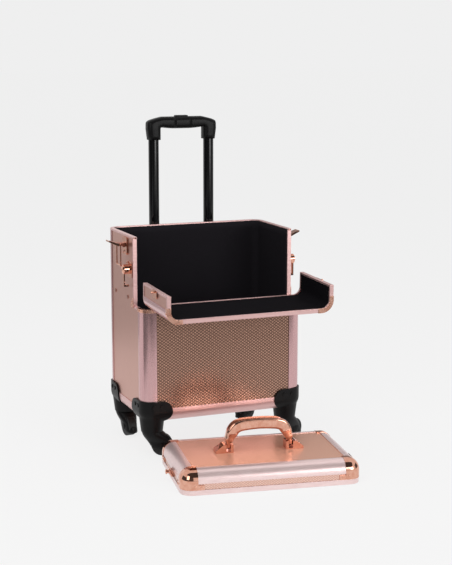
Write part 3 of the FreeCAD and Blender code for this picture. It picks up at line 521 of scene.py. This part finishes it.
def embossedSheet(low, high, local, size):
    # a thin upright board whose outer face carries the diamonds, and how far each point is pressed out,
    # which the foil paints as shade: 0 in a pit, 1 on a top and half on the plain edge
    axis = 0 if high.x - low.x < high.y - low.y else 1
    sign = -1 if low[axis] + high[axis] < 0 else 1
    across, up = [a for a in range(3) if a != axis]
    outer, inner = (low[axis], high[axis]) if sign < 0 else (high[axis], low[axis])
    columns = max(2, round((high[across] - low[across]) / (size["pitchX"] / 2 * mm)))
    rows = max(2, round((high[up] - low[up]) / (size["pitchY"] / 2 * mm)))
    verts, faces, pressShade = [], [], []

    def point(i, j, depth):
        p = Vector((0, 0, 0))
        p[across] = low[across] + (high[across] - low[across]) * i / columns
        p[up] = low[up] + (high[up] - low[up]) * j / rows
        p[axis] = depth
        return local @ p

    for j in range(rows + 1):
        for i in range(columns + 1):
            edge = i in (0, columns) or j in (0, rows)
            lift = 0 if edge or (i + j) % 2 == 0 else size["height"] * mm
            verts.append(point(i, j, outer - sign * (size["height"] * mm - lift)))
            pressShade.append(0.5 if edge else 1.0 if lift else 0.0)
    for j in range(rows):
        for i in range(columns):
            a = j * (columns + 1) + i
            b, c, d = a + 1, a + columns + 2, a + columns + 1
            faces += [(a, b, c), (a, c, d)] if (i + j) % 2 == 0 else [(a, b, d), (b, c, d)]
    # the board's edges and its plain back
    spots = [(i, 0) for i in range(columns)] + [(columns, j) for j in range(rows)]
    spots += [(i, rows) for i in range(columns, 0, -1)] + [(0, j) for j in range(rows, 0, -1)]
    rim = [j * (columns + 1) + i for i, j in spots]
    back = list(range(len(verts), len(verts) + len(spots)))
    verts += [point(i, j, inner) for i, j in spots]
    pressShade += [0.5] * len(spots)
    faces += [(rim[k - 1], rim[k], back[k], back[k - 1]) for k in range(len(spots))]
    faces.append(tuple(back))
    return verts, faces, pressShade


def makeEmbossed():
    jobs = [("frontPanelEmbossed", "front_panel", "case", still, emboss, embossed),
            ("flapPanelEmbossed", "flap_panel", "drop_front", flapFrame, emboss, embossed),
            ("lidBandsEmbossed", "lid_side_bands", "lid", lidFrame, bandEmboss, embossedBand)]
    for name, cadName, body, local, size, foil in jobs:
        sheets = [embossedSheet(low, high, local, size) for low, high in solidBoxes(cadName, local)]
        verts, faces = joinParts([sheet[:2] for sheet in sheets])
        piece = finishPiece(name, verts, faces, foil, body, [cadName], sharpAngle=60)
        # the pressed height as a layer, which the foil turns into painted shade in the pits
        layer = piece.data.attributes.new(embossedFoil["pitShadeLayer"], "FLOAT", "POINT")
        layer.data.foreach_set("value", [value for sheet in sheets for value in sheet[2]])


makeEmbossed()
print("embossed panels pressed")


# lid handle: a cast bow with a swelling top, pinned between the brackets

# a station is a share of the half bow, with the bar's height and depth there
lidHandle = {"pivotX": 61.5, "pivotZ": 57.0, "legWidth": 7.3, "eye": 6.4, "eyeProud": 0.1, "eyeEdge": 0.6,
             "eyeTaper": 0.85, "corner": 0.2, "cornerSteps": 5, "pathSteps": 4,
             "stations": [(0, 7.3, 14.5), (0.13, 7.3, 16.0), (0.24, 16.0, 19.0), (0.42, 21.5, 21.0),
                          (0.62, 22.0, 22.0), (1, 21.0, 22.0)],
             "path": [(61.5, 54.5), (61.3, 60), (59.8, 67), (56.6, 75.5), (53, 83), (49, 89.4), (43.2, 94.3),
                      (35.5, 96.7), (24, 98), (12, 98.7), (0, 99)]}


def smoothPath(path, steps):
    # a spline through all points
    fine = []
    for k in range(len(path) - 1):
        near = [path[min(max(k + d, 0), len(path) - 1)] for d in (-1, 0, 1, 2)]
        for step in range(steps):
            f = step / steps
            fine.append([0.5 * (2 * b + (c - a) * f + (2 * a - 5 * b + 4 * c - d) * f * f
                                + (3 * b - a - 3 * c + d) * f ** 3) for a, b, c, d in zip(*near)])
    return fine + [list(path[-1])]


def handleSection(share):
    # the bar's height and depth, eased between the stations
    stations = lidHandle["stations"]
    low, high = [pair for pair in zip(stations, stations[1:]) if pair[0][0] <= share <= pair[1][0]][-1]
    f = (share - low[0]) / (high[0] - low[0])
    ease = f * f * (3 - 2 * f)
    return [low[n] + (high[n] - low[n]) * ease for n in (1, 2)]


def makeLidHandle():
    size = lidHandle
    half = [(-x, z) for x, z in size["path"]]
    fine = smoothPath(half + [(-x, z) for x, z in half[-2::-1]], size["pathSteps"])
    last = len(fine) - 1
    rings = []
    for k, (x, z) in enumerate(fine):
        before, after = fine[max(k - 1, 0)], fine[min(k + 1, last)]
        direction = Vector((after[0] - before[0], 0, after[1] - before[1])).normalized()
        across = Vector((-direction.z, 0, direction.x))
        tall, deep = handleSection(min(1.0, min(k, last - k) / (len(fine) / 2)))
        ring = []
        for d, h in roundRect(deep, tall, tall * size["corner"], size["cornerSteps"]):
            ring.append(spotMm(x + across.x * h, d, z + across.z * h, lidFrame))
        rings.append(ring)
    parts = [loft(rings, True, (True, True))]
    width = size["legWidth"] + 2 * size["eyeProud"]
    taper, edge = size["eyeTaper"], size["eyeEdge"]
    eye = [(taper, 0), (1, edge), (1, width - edge), (taper, width)]
    for side in (-1, 1):
        spot = spotMm(side * (size["pivotX"] - width / 2), 0, size["pivotZ"], lidFrame)
        parts.append(turned(size["eye"], eye, facing(spot, lidFrame.to_3x3() @ Vector((side, 0, 0)))))
    verts, faces = joinParts(parts)
    finishPiece("lidHandleBow", verts, faces, plate, "lid_handle", ["lid_handle"],
                sharpAngle=50)


makeLidHandle()
print("lid handle cast")


# trolley grip: two sleeves that bend into one bar, hollow for the lock rods, with a pocket for the button

trolleyGrip = {"y": 131.5, "low": 618.0, "inner": 48.0, "outer": 77.6, "lean": 3.0, "under": 643.4,
               "top": 666.0, "fillet": 3.0, "square": 0.42, "shoulder": 7.5, "belly": 2.4,
               "sleeveDepth": 29.0, "barDepth": 27.0, "edge": 0.34, "edgeSteps": 6, "wall": 2.2,
               "pocketX": 14.4, "pocketY": 7.8, "pocketLow": 646.2,
               "sleeve": (0.0, 0.35, 0.7, 1.0), "bend": range(0, 91, 10), "bar": (0.25, 0.5, 0.75, 1.0)}


def gripStations():
    # the inner and outer point of each cut across the bent bar, seen from the front
    size = trolleyGrip
    inner, outer, under, top, fillet = (size[key] for key in ("inner", "outer", "under", "top", "fillet"))
    baseX, baseZ = inner - fillet, under - fillet
    stations = []
    for share in size["sleeve"]:
        z = size["low"] + (baseZ - size["low"]) * share
        stations.append(((inner, z), (outer - size["lean"] * (1 - share), z)))
    for angle in size["bend"]:
        cosine, sine = cosSin(angle)
        reach = (outer - baseX) * cosine ** size["square"]
        drop = size["shoulder"] * reach / (outer - baseX) * sine
        far = (baseX + reach, baseZ + (top - baseZ) * sine ** size["square"] - drop)
        stations.append(((baseX + fillet * cosine, baseZ + fillet * sine), far))
    for share in size["bar"]:
        x = baseX + (size["pocketX"] - baseX) * share
        stations.append(((x, under - size["belly"] * math.sin(share * math.pi / 2)), (x, top)))
    return stations


def makeTrolleyGrip():
    size = trolleyGrip
    outline = roundRect(1, 1, size["edge"], size["edgeSteps"])
    for way, word in ((-1, "left"), (1, "right")):
        rings = []
        for k, (near, far) in enumerate(gripStations()):
            share = min(1.0, max(0.0, (k + 1 - len(size["sleeve"])) / len(size["bend"])))
            deep = size["sleeveDepth"] + (size["barDepth"] - size["sleeveDepth"]) * share
            ring = []
            for d, h in outline:
                x, z = (near[n] + (far[n] - near[n]) * (h + 0.5) for n in (0, 1))
                ring.append(spotMm(x * way, size["y"] + d * deep, z))
            rings.append(ring)
        verts, faces = loft(rings)
        half = finishPiece(word + "GripHalf", verts, faces, plastic, "trolley_top",
                           ["trolley_grip"] if way < 0 else (), sharpAngle=60)
        thicken(half, size["wall"])


def makeButtonSaddle():
    # the solid middle of the bar: its section is the bar's, with the button's pocket cut from the top
    size = trolleyGrip
    under, pocket = size["under"] - size["belly"], size["pocketY"]
    tall, middle = size["top"] - under, (size["top"] + under) / 2
    points = [(d * size["barDepth"], h * tall) for d, h in roundRect(1, 1, size["edge"], size["edgeSteps"])]
    rear = sorted([p for p in points if p[1] > 0 and p[0] > pocket], key=lambda p: -p[1])
    lower = sorted([p for p in points if p[1] < 0], key=lambda p: -math.atan2(p[1], p[0]))
    front = sorted([p for p in points if p[1] > 0 and p[0] < -pocket], key=lambda p: p[1])
    floor = size["pocketLow"] - middle
    section = [(pocket, floor), (pocket, tall / 2)] + rear + lower + front
    section += [(-pocket, tall / 2), (-pocket, floor)]
    ends = (-size["pocketX"], size["pocketX"])
    rings = [[spotMm(x, size["y"] + d, middle + h) for d, h in section] for x in ends]
    verts, faces = loft(rings, True, (True, True))
    finishPiece("gripButtonSaddle", verts, faces, plastic, "trolley_top", sharpAngle=40)


makeTrolleyGrip()
makeButtonSaddle()
print("trolley grip moulded")


# castors: a moulded hood that sweeps from the swivel cup down around the wheel

castorHood = {"top": 50.3, "low": 9.0, "topRadius": 21.0, "trail": 20.0, "front": 17.5, "rear": 24.9,
              "halfWidth": 14.0, "wall": 1.5, "leadLift": 11.0, "leadPower": 1.25, "tailPower": 2.0,
              "narrowing": 1.35, "squareness": 0.5, "levels": 14, "around": 48,
              "capRadius": 8.0, "capSunk": 0.2, "capProfile": [(1, 0), (1, 0.5), (0.8, 1.1), (0.3, 1.3)]}


def hoodRing(share):
    # one cut through the hood, with x along its trail
    size = castorHood
    ease = share * share * (3 - 2 * share)
    lead = -size["topRadius"] + size["front"] * share ** size["leadPower"]
    reach = size["trail"] + size["rear"] - size["topRadius"]
    tail = size["topRadius"] + reach * (1 - (1 - share) ** size["tailPower"])
    wide = size["topRadius"] - (size["topRadius"] - size["halfWidth"]) * min(1.0, ease * size["narrowing"])
    power = 2 / (2 + size["squareness"] * ease)
    ring = []
    for k in range(size["around"]):
        angle = 2 * math.pi * k / size["around"]
        cosine, sine = math.cos(angle), math.sin(angle)
        x = (lead + tail) / 2 + (tail - lead) / 2 * math.copysign(abs(cosine) ** power, cosine)
        y = wide * math.copysign(abs(sine) ** power, sine)
        z = size["top"] - (size["top"] - size["low"]) * share + size["leadLift"] * ease * (1 - cosine) / 2
        ring.append((x, y, z))
    return ring


def makeCastorHoods():
    size = castorHood
    for corner in castorCorners:
        swivel = joints["castor_swivel_" + corner]["pos_m"]
        spin = joints["castor_spin_" + corner]["pos_m"]
        body = "castor_fork_" + corner
        back = Vector((spin[0] - swivel[0], spin[1] - swivel[1], 0)).normalized()
        side = Vector((-back.y, back.x, 0))
        origin = Vector((swivel[0], swivel[1], 0))
        rings = []
        for level in range(size["levels"] + 1):
            ring = hoodRing(level / size["levels"])
            rings.append([origin + (back * x + side * y + Vector((0, 0, z))) * mm for x, y, z in ring])
        verts, faces = loft(rings, True, (True, False))
        hood = finishPiece("castorHood_" + corner, verts, faces, plastic, body, [body],
                           sharpAngle=60)
        thicken(hood, size["wall"])
        caps = []
        for way in (-1, 1):
            spot = Vector(spin) + side * way * (size["halfWidth"] - size["capSunk"]) * mm
            caps.append(turned(size["capRadius"], size["capProfile"], facing(spot, side * way)))
        verts, faces = joinParts(caps)
        finishPiece("axleCaps_" + corner, verts, faces, plastic, body)


makeCastorHoods()
print("castor hoods moulded")


# small cast details: keyholes, turn knobs, rivets and lid studs

# a profile is pairs of a share of the radius and a height in mm
keyhole = {"y": -8.0, "z": 407.0, "plateOut": 174.35, "ring": 3.6, "hole": 2.3,
           "ringProfile": [(1, 0), (1, 0.4), (0.85, 0.8)], "boreHeights": (0.8, 0.2),
           "holeProfile": [(0.98, 0.1), (0.98, 0.5)]}
turnKnob = {"out": 186.3, "radius": 9.4,
            "profile": [(0.9, -1.0), (1, -0.2), (0.98, 0.8), (0.8, 1.8), (0.74, 1.6), (0.6, 2.6), (0.3, 3.3),
                        (0.05, 3.4)]}


def makeLatchDetails():
    bore = [(keyhole["hole"] / keyhole["ring"], height) for height in keyhole["boreHeights"]]
    for way, word in ((-1, "left"), (1, "right")):
        out = Vector((way, 0, 0))
        place = facing(spotMm(way * keyhole["plateOut"], keyhole["y"], keyhole["z"]), out)
        verts, faces = turned(keyhole["ring"], keyhole["ringProfile"] + bore, place)
        finishPiece(word + "KeyRing", verts, faces, plate, "case")
        # a black plug in the ring's bore: painted shade for the depth of the keyhole
        verts, faces = turned(keyhole["hole"], keyhole["holeProfile"], place)
        finishPiece(word + "KeyholePaintedShade", verts, faces, tyre, "case")
        turn = joints[word + "_flap_latch_turn"]["pos_m"]
        knob = Vector((way * turnKnob["out"] * mm, turn[1], turn[2]))
        verts, faces = turned(turnKnob["radius"], turnKnob["profile"], facing(knob, out))
        finishPiece(word + "TurnKnobCap", verts, faces, plate, word + "_flap_latch_knob")


def surfaceSpot(name, start, direction):
    # where a line meets a casting
    data = cadNodes[name].data
    tree = BVHTree.FromPolygons([v.co for v in data.vertices], [p.vertices for p in data.polygons])
    spot, normal, _, _ = tree.ray_cast(start, direction)
    return spot, normal


rivet = {"radius": 1.9, "steps": 20,
         "profile": [(1, -0.4), (1, 0.225), (0.82, 0.585), (0.45, 0.828), (0.08, 0.9)]}
# node, body, frame, then the start and direction of a line that meets the casting, and its mirror axes
rivetRows = [
    ("lid_corners", "lid", lidFrame, (147, 200, 17), (0, -1, 0), "xy"),
    ("lid_corners", "lid", lidFrame, (300, 87, 17), (-1, 0, 0), "xy"),
    ("lid_handle_brackets", "lid", lidFrame, (80, 7.5, 120), (0, 0, -1), "xy"),
    ("lid_latch_bases", "case", still, (300, -18.5, 403.2), (-1, 0, 0), "x"),
    ("lid_latch_bases", "case", still, (300, 2.5, 403.2), (-1, 0, 0), "x"),
    ("flap_latch_bases", "case", still, (300, -20, 363.5), (-1, 0, 0), "x"),
    ("flap_latch_bases", "case", still, (300, -20, 384.5), (-1, 0, 0), "x"),
    ("opening_brackets", "case", still, (152, -200, 300), (0, 1, 0), "x"),
    ("opening_brackets", "case", still, (300, -92, 300), (-1, 0, 0), "x"),
    ("opening_brackets", "case", still, (300, -50, 310), (-1, 0, 0), "x"),
    ("flap_corner_caps", "drop_front", flapFrame, (152, -200, 437), (0, 1, 0), "x"),
    ("flap_corner_caps", "drop_front", flapFrame, (300, -92, 437), (-1, 0, 0), "x"),
]


def makeRivets():
    found = {}
    for name, body, local, start, way, mirrored in rivetRows:
        flips = [Vector((x, y, 1)) for x in (-1, 1) for y in ((-1, 1) if "y" in mirrored else (1,))]
        for flip in flips:
            spot, normal = surfaceSpot(name, spotMm(*(Vector(start) * flip), local),
                                       local.to_3x3() @ (Vector(way) * flip))
            if spot is not None:
                dome = turned(rivet["radius"], rivet["profile"], facing(spot, normal), rivet["steps"])
                found.setdefault((name, body), []).append(dome)
    for (name, body), parts in found.items():
        verts, faces = joinParts(parts)
        finishPiece("rivets_" + name, verts, faces, plate, body)
    print("rivets set:", sum(len(parts) for parts in found.values()))


lidStud = {"y": -15.0, "z": 18.0, "from": 300.0, "radius": 5.0,
           "profile": [(0.68, -0.5), (0.68, 2.2), (0.9, 2.75), (1, 3.41), (0.96, 4.4), (0.6, 5.28),
                       (0.1, 5.5)]}


def makeLidStuds():
    size = lidStud
    parts = []
    for way in (-1, 1):
        spot, normal = surfaceSpot("lid_catches", spotMm(way * size["from"], size["y"], size["z"], lidFrame),
                                   lidFrame.to_3x3() @ Vector((-way, 0, 0)))
        if spot is not None:
            parts.append(turned(size["radius"], size["profile"], facing(spot, normal)))
    verts, faces = joinParts(parts)
    finishPiece("lidCatchStuds", verts, faces, plate, "lid")


makeLatchDetails()
makeRivets()
makeLidStuds()
print("latch details set")


# soft edges on the CAD nodes that stay, so that they catch the light

softEdge = {"weldMm": 0.01, "flatAngle": 0.5, "edgeAngle": 35, "steps": 2}
edgeWidths = {
    0.9: ["trolley_top_bracket", "trolley_foot", "release_button", "corner_housings"],
    0.2: ["lid_latch_bases"],
    0.5: ["lid_handle_brackets", "flap_latch_bases", "flap_catches", "lid_catches",
          "left_lid_latch_lever", "right_lid_latch_lever", "left_flap_latch_knob", "right_flap_latch_knob",
          "top_rim", "opening_rim", "side_edge_trims", "flap_rim", "lid_rim", "opening_brackets",
          "flap_corner_caps", "lid_corner_clips"],
}


def soften(name, widthMm):
    size = softEdge
    piece = cadNodes[name]
    if "custom_normal" in piece.data.attributes:
        piece.data.attributes.remove(piece.data.attributes["custom_normal"])
    piece.data.polygons.foreach_set("use_smooth", [True] * len(piece.data.polygons))
    weld = piece.modifiers.new("weld", "WELD")
    weld.merge_threshold = size["weldMm"] * mm
    flat = piece.modifiers.new("flat", "DECIMATE")
    flat.decimate_type = "DISSOLVE"
    flat.angle_limit = math.radians(size["flatAngle"])
    bevel = piece.modifiers.new("edge", "BEVEL")
    bevel.width = widthMm * mm
    bevel.segments = size["steps"]
    bevel.limit_method = "ANGLE"
    bevel.angle_limit = math.radians(size["edgeAngle"])
    bevel.harden_normals = True


for widthMm, names in edgeWidths.items():
    for name in names:
        soften(name, widthMm)
print("edges softened")


# stage: pale floor and backdrop, soft light, camera

stageLook = {"backdrop": "#EFEFEF", "floorMix": 0.86, "floorGlow": 1.09, "floorSize": 80.0, "roomLight": 0.5,
             "sky": [(0.0, (0.62, 0.61, 0.61, 1)), (0.8, (0.9, 0.9, 0.9, 1))]}


def addObject(name, data):
    thing = bpy.data.objects.new(name, data)
    bpy.context.scene.collection.objects.link(thing)
    return thing


def addSheet(name, width, depth, material):
    # a flat sheet about its own middle
    mesh = bpy.data.meshes.new(name)
    w, d = width / 2, depth / 2
    mesh.from_pydata([(-w, -d, 0), (w, -d, 0), (w, d, 0), (-w, d, 0)], [], [(0, 1, 2, 3)])
    mesh.materials.append(material)
    return addObject(name, mesh)


def aim(thing, at, to, axis):
    # places a thing with one of its axes towards a point
    thing.location = at
    thing.rotation_euler = (Vector(to) - Vector(at)).to_track_quat(axis, "Y").to_euler()


def seenRays(tree):
    # 1 for what the camera, glass and metal see, 0 for the light that falls on the part
    path = addNode(tree, "ShaderNodeLightPath")
    clear = addNode(tree, "ShaderNodeMath", {"operation": "MAXIMUM"}, i0=path.outputs["Is Camera Ray"],
                    i1=path.outputs["Is Transmission Ray"])
    return addNode(tree, "ShaderNodeMath", {"operation": "MAXIMUM"}, i0=clear,
                   i1=path.outputs["Is Glossy Ray"])


def makeRoom():
    look = stageLook
    world = bpy.data.worlds.new("studio")
    bpy.context.scene.world = world
    tree = clearTree(world)
    direction = addNode(tree, "ShaderNodeTexCoord").outputs["Generated"]
    height = addNode(tree, "ShaderNodeSeparateXYZ", Vector=direction).outputs["Z"]
    sky = addNode(tree, "ShaderNodeValToRGB", {"stops": look["sky"]}, Fac=height)
    room = addNode(tree, "ShaderNodeBackground", Color=sky, Strength=look["roomLight"])
    flat = addNode(tree, "ShaderNodeBackground", Color=hexColour(look["backdrop"]), Strength=1.0)
    mix = addNode(tree, "ShaderNodeMixShader", Fac=seenRays(tree), i1=room, i2=flat)
    addNode(tree, "ShaderNodeOutputWorld", Surface=mix)


def makeFloor():
    # mostly the backdrop's own tone, with enough matt white to keep the shadow
    look = stageLook
    tone = hexColour(look["backdrop"])
    material = bpy.data.materials.new("paleStudioFloor")
    tree = clearTree(material)
    share = addNode(tree, "ShaderNodeMath", {"operation": "MULTIPLY"}, i0=seenRays(tree), i1=look["floorMix"])
    matt = addNode(tree, "ShaderNodeBsdfDiffuse", Color=tone)
    glow = addNode(tree, "ShaderNodeEmission", Color=tone, Strength=look["floorGlow"])
    mix = addNode(tree, "ShaderNodeMixShader", Fac=share, i1=matt, i2=glow)
    addNode(tree, "ShaderNodeOutputMaterial", Surface=mix)
    addSheet("floor", look["floorSize"], look["floorSize"], material)


# dark cards that only reflections see, for the deep tones in the metal
cards = {
    "lowFront": {"at": (-0.2, -2.65, 0.012), "to": (-0.2, -2.65, 1.0), "size": (5.0, 3.2), "tone": 0.06},
    "behindCamera": {"at": (-2.3, -4.0, 1.3), "to": (0, 0, 0.5), "size": (4.8, 2.6), "tone": 0.1},
    "leftWall": {"at": (-3.6, -0.2, 0.9), "to": (0, 0, 0.6), "size": (4.5, 2.0), "tone": 0.08},
    "rightWall": {"at": (3.2, -0.8, 0.8), "to": (0, 0, 0.5), "size": (2.2, 1.5), "tone": 0.1},
    "overhead": {"at": (-0.3, -1.9, 2.5), "to": (0, -0.2, 0.2), "size": (5.0, 2.8), "tone": 0.06},
    "leftFloor": {"at": (-2.0, -0.75, 0.012), "to": (-2.0, -0.75, 1.0), "size": (2.4, 1.3), "tone": 0.1},
    "backRight": {"at": (1.4, 2.0, 0.8), "to": (0.15, -0.3, 0.05), "size": (1.3, 1.0), "tone": 0.3},
    "backLeftFloor": {"at": (-1.2, 2.1, 0.012), "to": (-1.2, 2.1, 1.0), "size": (2.0, 2.4), "tone": 0.5},
}


def makeCards():
    for name, look in cards.items():
        material = bpy.data.materials.new("darkCard_" + name)
        tree = clearTree(material)
        glow = addNode(tree, "ShaderNodeEmission", Color=[look["tone"]] * 3 + [1.0], Strength=1.0)
        addNode(tree, "ShaderNodeOutputMaterial", Surface=glow)
        card = addSheet("card_" + name, *look["size"], material)
        aim(card, look["at"], look["to"], "Z")
        card.visible_camera = False
        card.visible_diffuse = False
        card.visible_shadow = False
        card.visible_transmission = False


# inGloss is whether the metal shows the lamp itself
lamps = {
    "overhead": {"at": (-0.3, -0.6, 2.4), "to": (0, -0.1, 0.2), "size": (2.6, 2.0), "watts": 21,
                 "spread": 180, "inGloss": False},
    "frontLeft": {"at": (-2.2, -1.9, 1.5), "to": (0, -0.1, 0.3), "size": (1.2, 1.8), "watts": 21,
                  "spread": 180, "inGloss": True},
    "frontRight": {"at": (1.3, -3.2, 0.85), "to": (0, -0.1, 0.2), "size": (1.5, 1.2), "watts": 6.5,
                   "spread": 76, "inGloss": True},
}


def makeLamps():
    for name, look in lamps.items():
        light = bpy.data.lights.new(name, "AREA")
        light.shape = "RECTANGLE"
        light.size, light.size_y = look["size"]
        light.energy = look["watts"]
        light.spread = math.radians(look["spread"])
        lamp = addObject(name, light)
        lamp.visible_glossy = look["inGloss"]
        aim(lamp, look["at"], look["to"], "-Z")


viewpoint = {"at": (-0.9965, -2.5675, 0.8138), "turn": 22.17, "tilt": 9.98, "lens": 85.8, "sensor": 36.0}


def makeCamera():
    look = viewpoint
    camera = bpy.data.cameras.new("camera")
    camera.lens = look["lens"]
    camera.sensor_width = look["sensor"]
    holder = addObject("camera", camera)
    holder.location = look["at"]
    holder.rotation_euler = (math.radians(90 - look["tilt"]), 0, math.radians(-look["turn"]))
    bpy.context.scene.camera = holder


makeRoom()
makeFloor()
makeCards()
makeLamps()
makeCamera()
bpy.context.scene.view_settings.view_transform = "Standard"
print("stage, lamps and camera made")
